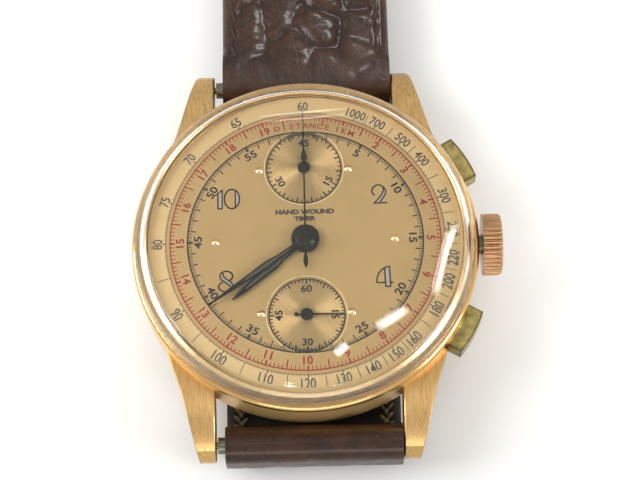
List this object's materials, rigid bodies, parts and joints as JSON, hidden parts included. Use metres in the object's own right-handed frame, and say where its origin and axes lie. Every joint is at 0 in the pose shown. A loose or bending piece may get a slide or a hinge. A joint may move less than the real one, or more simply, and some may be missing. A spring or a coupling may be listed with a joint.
{
  "type": "chronograph wristwatch",
  "caption": "Hand-wound chronograph wristwatch: round gold case, domed crystal, dial with two small counters, crown, rectangular pushers and a crocodile leather strap with a tang buckle.",
  "frame": {"origin": "point of the folded strap half's flat underside right below the hand axis", "axes": "+Z out through the crystal, +Y towards 12 o'clock, +X towards 3 o'clock and the crown"},
  "size_m": [0.0399, 0.1278, 0.0151],
  "materials": {
    "gold_case": "brushed and polished gold",
    "rose_crown": "fluted rose gold",
    "aged_pusher": "gold with a greenish patina",
    "acrylic": "clear domed acrylic",
    "dial_gold": "matte champagne",
    "marker_gold": "polished",
    "hand_steel": "dark oxidised steel",
    "steel": "satin",
    "blued_steel": "blued spring steel",
    "gilt": "gilt",
    "nickel": "striped nickel plate",
    "spacer": "plain turned",
    "ruby": "polished ruby",
    "leather": "glossy crocodile grain",
    "buckle_gold": "polished"
  },
  "bodies": {
    "case": {"case_middle": "gold_case", "bezel": "gold_case", "crystal": "acrylic", "tension_ring": "gold_case", "case_back": "gold_case", "movement_ring": "spacer", "crown_tube": "steel", "pusher_tubes": "steel", "dial": "dial_gold", "dial_markers": "marker_gold", "main_plate": "nickel", "barrel_bridge": "nickel", "train_bridge": "nickel", "balance_cock": "nickel", "movement_screws": "steel", "jewels": "ruby", "spring_bar_upper": "steel", "spring_bar_lower": "steel"},
    "winding": {"winding_pinion": "steel", "sliding_clutch": "steel"},
    "crown": {"crown": "rose_crown", "winding_stem": "steel"},
    "start_button": {"start_pusher": "aged_pusher"},
    "reset_button": {"reset_pusher": "aged_pusher"},
    "hour": {"hour_hand": "hand_steel", "hour_wheel": "gilt"},
    "minute": {"minute_hand": "hand_steel", "cannon_pinion": "steel", "centre_wheel": "gilt"},
    "motion_wheel": {"minute_wheel": "gilt"},
    "chrono": {"chrono_hand": "hand_steel", "chrono_runner": "gilt"},
    "counter": {"counter_hand": "hand_steel", "minute_recorder": "gilt"},
    "seconds": {"seconds_hand": "hand_steel", "fourth_wheel": "gilt"},
    "third": {"third_wheel": "gilt"},
    "escape": {"escape_wheel": "gilt"},
    "pallet": {"pallet_fork": "steel"},
    "balance": {"balance_wheel": "gilt", "hairspring": "blued_steel"},
    "barrel": {"barrel": "gilt", "mainspring": "steel"},
    "ratchet": {"ratchet_wheel": "steel"},
    "crown_wheel": {"crown_wheel": "steel"},
    "column": {"column_wheel": "steel"},
    "hammer": {"reset_hammer": "steel"},
    "tip_upper_left": {"bar_tip_upper_left": "steel"},
    "tip_upper_right": {"bar_tip_upper_right": "steel"},
    "tip_lower_left": {"bar_tip_lower_left": "steel"},
    "tip_lower_right": {"bar_tip_lower_right": "steel"},
    "upper_root": {"strap_upper_root": "leather"},
    "upper_strap": {"strap_upper": "leather", "fixed_keeper": "leather", "buckle_bar": "buckle_gold"},
    "keeper": {"floating_keeper": "leather"},
    "buckle": {"buckle_frame": "buckle_gold"},
    "tongue": {"buckle_tongue": "buckle_gold"},
    "lower_root": {"strap_lower_root": "leather"},
    "lower_strap": {"strap_lower": "leather"}
  },
  "joints": [
    {"name": "crown_turn", "type": "hinge", "parent": "case", "child": "winding", "pos_m": [0, 0, 0.009], "axis": [1, 0, 0], "continuous": true},
    {"name": "crown_pull", "type": "slide", "parent": "winding", "child": "crown", "axis": [1, 0, 0], "range_m": [0, 0.0009]},
    {"name": "start_push", "type": "slide", "parent": "case", "child": "start_button", "axis": [-0.866, -0.5, 0], "range_m": [0, 0.0008], "stiffness_N_per_m": 10},
    {"name": "reset_push", "type": "slide", "parent": "case", "child": "reset_button", "axis": [-0.866, 0.5, 0], "range_m": [0, 0.0008], "stiffness_N_per_m": 10},
    {"name": "seconds_turn", "type": "hinge", "parent": "case", "child": "seconds", "pos_m": [0, -0.0084, 0.009], "axis": [0, 0, -1], "continuous": true},
    {"name": "third_turn", "type": "hinge", "parent": "case", "child": "third", "pos_m": [0.00153, -0.0048, 0.009], "axis": [0, 0, -1], "continuous": true},
    {"name": "minute_turn", "type": "hinge", "parent": "case", "child": "minute", "pos_m": [0, 0, 0.009], "axis": [0, 0, -1], "continuous": true},
    {"name": "hour_turn", "type": "hinge", "parent": "case", "child": "hour", "pos_m": [0, 0, 0.009], "axis": [0, 0, -1], "continuous": true},
    {"name": "motion_wheel_turn", "type": "hinge", "parent": "case", "child": "motion_wheel", "pos_m": [-0.00249, 0.00144, 0.009], "axis": [0, 0, -1], "continuous": true},
    {"name": "escape_turn", "type": "hinge", "parent": "case", "child": "escape", "pos_m": [-0.00364, -0.00972, 0.009], "axis": [0, 0, -1], "continuous": true},
    {"name": "barrel_turn", "type": "hinge", "parent": "case", "child": "barrel", "pos_m": [0.00509, 0.00398, 0.009], "axis": [0, 0, -1], "continuous": true},
    {"name": "chrono_turn", "type": "hinge", "parent": "case", "child": "chrono", "pos_m": [0, 0, 0.009], "axis": [0, 0, -1], "continuous": true},
    {"name": "counter_turn", "type": "hinge", "parent": "case", "child": "counter", "pos_m": [0, 0.0084, 0.009], "axis": [0, 0, -1], "continuous": true},
    {"name": "balance_swing", "type": "hinge", "parent": "case", "child": "balance", "pos_m": [-0.0082, -0.0036, 0.0073], "axis": [0, 0, 1], "range_deg": [-270, 270]},
    {"name": "pallet_swing", "type": "hinge", "parent": "case", "child": "pallet", "pos_m": [-0.00555, -0.00715, 0.00784], "axis": [0, 0, 1], "range_deg": [-5.01, 5.01]},
    {"name": "crown_wheel_turn", "type": "hinge", "parent": "case", "child": "crown_wheel", "pos_m": [0.00917, 0.00233, 0.009], "axis": [0, 0, 1], "continuous": true},
    {"name": "ratchet_turn", "type": "hinge", "parent": "case", "child": "ratchet", "pos_m": [0.00509, 0.00398, 0.009], "axis": [0, 0, 1], "continuous": true},
    {"name": "column_index", "type": "hinge", "parent": "case", "child": "column", "pos_m": [-0.0063, 0.0063, 0.006], "axis": [0, 0, 1], "range_deg": [0, 30.1]},
    {"name": "hammer_swing", "type": "hinge", "parent": "case", "child": "hammer", "pos_m": [0.0076, -0.0066, 0.00545], "axis": [0, 0, -1], "range_deg": [0, 6.1]},
    {"name": "tip_upper_left_slide", "type": "slide", "parent": "case", "child": "tip_upper_left", "axis": [1, 0, 0], "range_m": [0, 0.00085], "stiffness_N_per_m": 1},
    {"name": "tip_upper_right_slide", "type": "slide", "parent": "case", "child": "tip_upper_right", "axis": [-1, 0, 0], "range_m": [0, 0.00085], "stiffness_N_per_m": 1},
    {"name": "tip_lower_left_slide", "type": "slide", "parent": "case", "child": "tip_lower_left", "axis": [1, 0, 0], "range_m": [0, 0.00085], "stiffness_N_per_m": 1},
    {"name": "tip_lower_right_slide", "type": "slide", "parent": "case", "child": "tip_lower_right", "axis": [-1, 0, 0], "range_m": [0, 0.00085], "stiffness_N_per_m": 1},
    {"name": "upper_hinge", "type": "hinge", "parent": "case", "child": "upper_root", "pos_m": [0, 0.02085, 0.00545], "axis": [1, 0, 0], "range_deg": [-0.3, 80]},
    {"name": "upper_flex", "type": "hinge", "parent": "upper_root", "child": "upper_strap", "pos_m": [0, 0.03285, 0.00545], "axis": [1, 0, 0], "range_deg": [-0.1, 45]},
    {"name": "keeper_slide", "type": "slide", "parent": "upper_strap", "child": "keeper", "axis": [0, 1, 0], "range_m": [0, 0.0075]},
    {"name": "buckle_swing", "type": "hinge", "parent": "upper_strap", "child": "buckle", "pos_m": [0, 0.09485, 0.00545], "axis": [1, 0, 0], "range_deg": [-60, 45]},
    {"name": "tongue_swing", "type": "hinge", "parent": "buckle", "child": "tongue", "pos_m": [0, 0.09485, 0.00545], "axis": [1, 0, 0], "range_deg": [0, 60]},
    {"name": "lower_hinge", "type": "hinge", "parent": "case", "child": "lower_root", "pos_m": [0, -0.02085, 0.00545], "axis": [-1, 0, 0], "range_deg": [0, 95]},
    {"name": "lower_flex", "type": "hinge", "parent": "lower_root", "child": "lower_strap", "pos_m": [0, -0.02085, 0.0016], "axis": [-1, 0, 0], "range_deg": [0, 90]}
  ],
  "couplings": [
    {"joint": "third_turn", "follows": "seconds_turn", "ratio": -0.13333},
    {"joint": "minute_turn", "follows": "seconds_turn", "ratio": 0.016667},
    {"joint": "hour_turn", "follows": "seconds_turn", "ratio": 0.0013889},
    {"joint": "motion_wheel_turn", "follows": "seconds_turn", "ratio": -0.0055556},
    {"joint": "escape_turn", "follows": "seconds_turn", "ratio": -10},
    {"joint": "barrel_turn", "follows": "seconds_turn", "ratio": -0.0025253},
    {"joint": "counter_turn", "follows": "chrono_turn", "ratio": 0.022222},
    {"joint": "pallet_swing", "follows": "balance_swing", "ratio": -0.018519},
    {"joint": "crown_wheel_turn", "follows": "crown_turn", "ratio": -0.38889},
    {"joint": "ratchet_turn", "follows": "crown_turn", "ratio": 0.26923},
    {"joint": "column_index", "follows": "start_push", "rad_per_m": 654},
    {"joint": "hammer_swing", "follows": "reset_push", "rad_per_m": 130}
  ]
}
